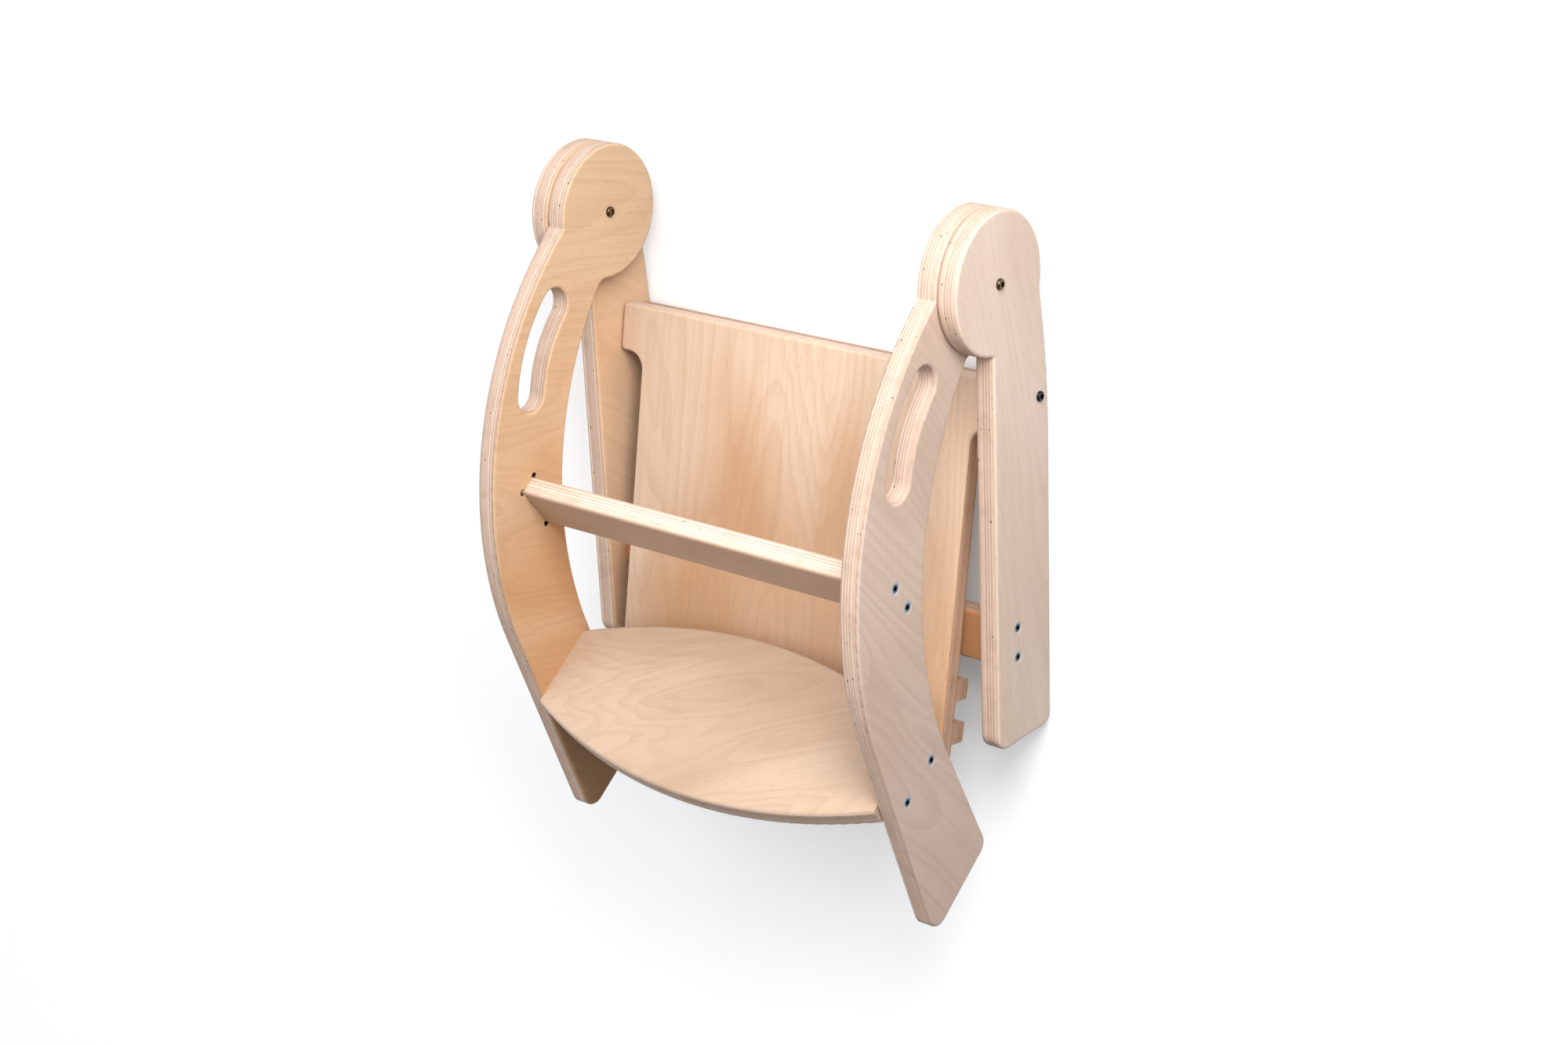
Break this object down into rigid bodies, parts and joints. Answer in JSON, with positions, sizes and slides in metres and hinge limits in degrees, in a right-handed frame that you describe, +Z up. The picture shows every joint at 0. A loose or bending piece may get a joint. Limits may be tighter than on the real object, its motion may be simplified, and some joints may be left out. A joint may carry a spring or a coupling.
{
  "type": "folding rocking horse stool",
  "caption": "Folding plywood rocking horse: two straight legs and two curved rocker legs hinged at round heads, with hand holes, a hinged seat panel, a slat and a lens-shaped foot board.",
  "frame": {"origin": "on the floor under the middle of the folded object, which lies on the straight back edges of its rear legs", "axes": "+X across, from the left legs to the right legs; +Y along the legs towards the round heads; +Z up, out of the front of the object"},
  "size_m": [0.4422, 0.5948, 0.236],
  "materials": {
    "rocker_ply": "satin",
    "leg_ply": "satin",
    "panel_ply": "satin",
    "batten_wood": "satin",
    "zinc_steel": "satin",
    "antique_brass": "satin",
    "dark_steel": "satin",
    "nylon": "matte"
  },
  "bodies": {
    "rear_frame": {"rear_leg_left": "leg_ply", "rear_leg_right": "leg_ply", "rear_stretcher": "leg_ply", "stretcher_screws": "zinc_steel", "head_bolt_left": "antique_brass", "head_bolt_right": "antique_brass", "head_sleeve_left": "antique_brass", "head_sleeve_right": "antique_brass", "head_washer_left": "nylon", "head_washer_right": "nylon"},
    "rocker_frame": {"rocker_leg_left": "rocker_ply", "rocker_leg_right": "rocker_ply", "slat": "rocker_ply", "slat_screws": "zinc_steel", "platform": "panel_ply", "platform_screws": "zinc_steel"},
    "seat": {"seat_panel": "panel_ply", "hinge_rail": "batten_wood", "rear_cleat": "batten_wood", "front_cleat": "batten_wood", "rail_screws": "zinc_steel", "cleat_screws": "zinc_steel", "seat_bolt_left": "dark_steel", "seat_bolt_right": "dark_steel", "seat_insert_left": "antique_brass", "seat_insert_right": "antique_brass", "seat_washer_left": "nylon", "seat_washer_right": "nylon"}
  },
  "joints": [
    {"name": "fold", "type": "hinge", "parent": "rear_frame", "child": "rocker_frame", "pos_m": [0, 0.23925, 0.0682], "axis": [-1, 0, 0], "range_deg": [0, 95]},
    {"name": "panel", "type": "hinge", "parent": "rear_frame", "child": "seat", "pos_m": [0, 0.13185, 0.0143], "axis": [-1, 0, 0], "range_deg": [0, 79]}
  ],
  "couplings": [
    {"joint": "panel", "follows": "fold", "ratio": 0.83157}
  ]
}
